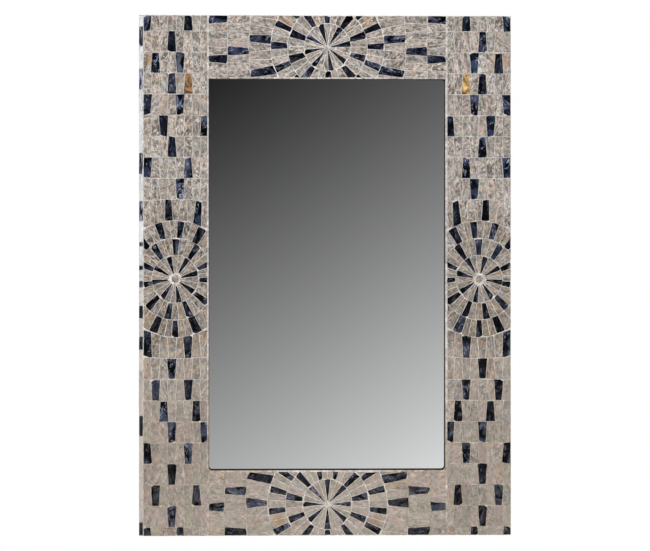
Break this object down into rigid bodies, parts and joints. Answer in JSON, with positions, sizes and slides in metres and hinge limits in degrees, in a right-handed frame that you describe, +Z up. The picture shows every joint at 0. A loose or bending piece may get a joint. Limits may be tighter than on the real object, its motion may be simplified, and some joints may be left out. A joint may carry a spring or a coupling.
{
  "type": "wall mirror",
  "caption": "Upright rectangular wall mirror with a wide frame faced in shell mosaic with starburst rosettes, hung on two hinged rings.",
  "frame": {"origin": "point on the wall plane behind the middle of the frame", "axes": "+Z up along the frame's height, +Y into the wall, so the mirror faces -Y"},
  "size_m": [0.508, 0.0335, 0.7],
  "materials": {
    "frame_wood": "bare sawn board, fine grain",
    "dowel_wood": "smooth turned beech",
    "cream_shell": "polished cream shell, streaked, slightly pearly",
    "dark_shell": "polished blue-black shell with a bluish sheen",
    "amber_shell": "polished amber shell",
    "pink_shell": "polished pinkish shell",
    "grout": "matt, fine-grained, off-white",
    "mirror_glass": "clear silvered glass",
    "black_seal": "matt black foam strip",
    "block_rubber": "matt rubber",
    "hardboard": "pressed hardboard, smooth",
    "bead_wood": "planed softwood",
    "pin_steel": "bright drawn wire",
    "hanger_steel": "zinc-plated strip",
    "ring_steel": "zinc-plated wire",
    "screw_steel": "zinc-plated",
    "bumper_rubber": "matt rubber"
  },
  "bodies": {
    "frame": {"left_stile_board": "frame_wood", "right_stile_board": "frame_wood", "top_rail_board": "frame_wood", "bottom_rail_board": "frame_wood", "joint_dowels": "dowel_wood", "left_cream_tiles": "cream_shell", "right_cream_tiles": "cream_shell", "top_cream_tiles": "cream_shell", "bottom_cream_tiles": "cream_shell", "left_dark_tiles": "dark_shell", "right_dark_tiles": "dark_shell", "top_dark_tiles": "dark_shell", "bottom_dark_tiles": "dark_shell", "amber_tiles": "amber_shell", "rosette_discs": "pink_shell", "left_grout": "grout", "right_grout": "grout", "top_grout": "grout", "bottom_grout": "grout", "left_edge_cream_tiles": "cream_shell", "right_edge_cream_tiles": "cream_shell", "top_edge_cream_tiles": "cream_shell", "bottom_edge_cream_tiles": "cream_shell", "left_edge_dark_tiles": "dark_shell", "right_edge_dark_tiles": "dark_shell", "top_edge_dark_tiles": "dark_shell", "bottom_edge_dark_tiles": "dark_shell", "left_edge_grout": "grout", "right_edge_grout": "grout", "top_edge_grout": "grout", "bottom_edge_grout": "grout", "mirror_pane": "mirror_glass", "glazing_seal": "black_seal", "setting_blocks": "block_rubber", "backing_board": "hardboard", "left_bead": "bead_wood", "right_bead": "bead_wood", "top_bead": "bead_wood", "bottom_bead": "bead_wood", "bead_pins": "pin_steel", "left_hanger_strap": "hanger_steel", "right_hanger_strap": "hanger_steel", "hanger_screws": "screw_steel", "wall_bumpers": "bumper_rubber"},
    "left_ring": {"left_hanger_ring": "ring_steel"},
    "right_ring": {"right_hanger_ring": "ring_steel"}
  },
  "joints": [
    {"name": "left_ring_hinge", "type": "hinge", "parent": "frame", "child": "left_ring", "pos_m": [-0.209, -0.00345, 0.205], "axis": [-1, 0, 0], "range_deg": [-3, 172]},
    {"name": "right_ring_hinge", "type": "hinge", "parent": "frame", "child": "right_ring", "pos_m": [0.209, -0.00345, 0.205], "axis": [-1, 0, 0], "range_deg": [-3, 172]}
  ]
}
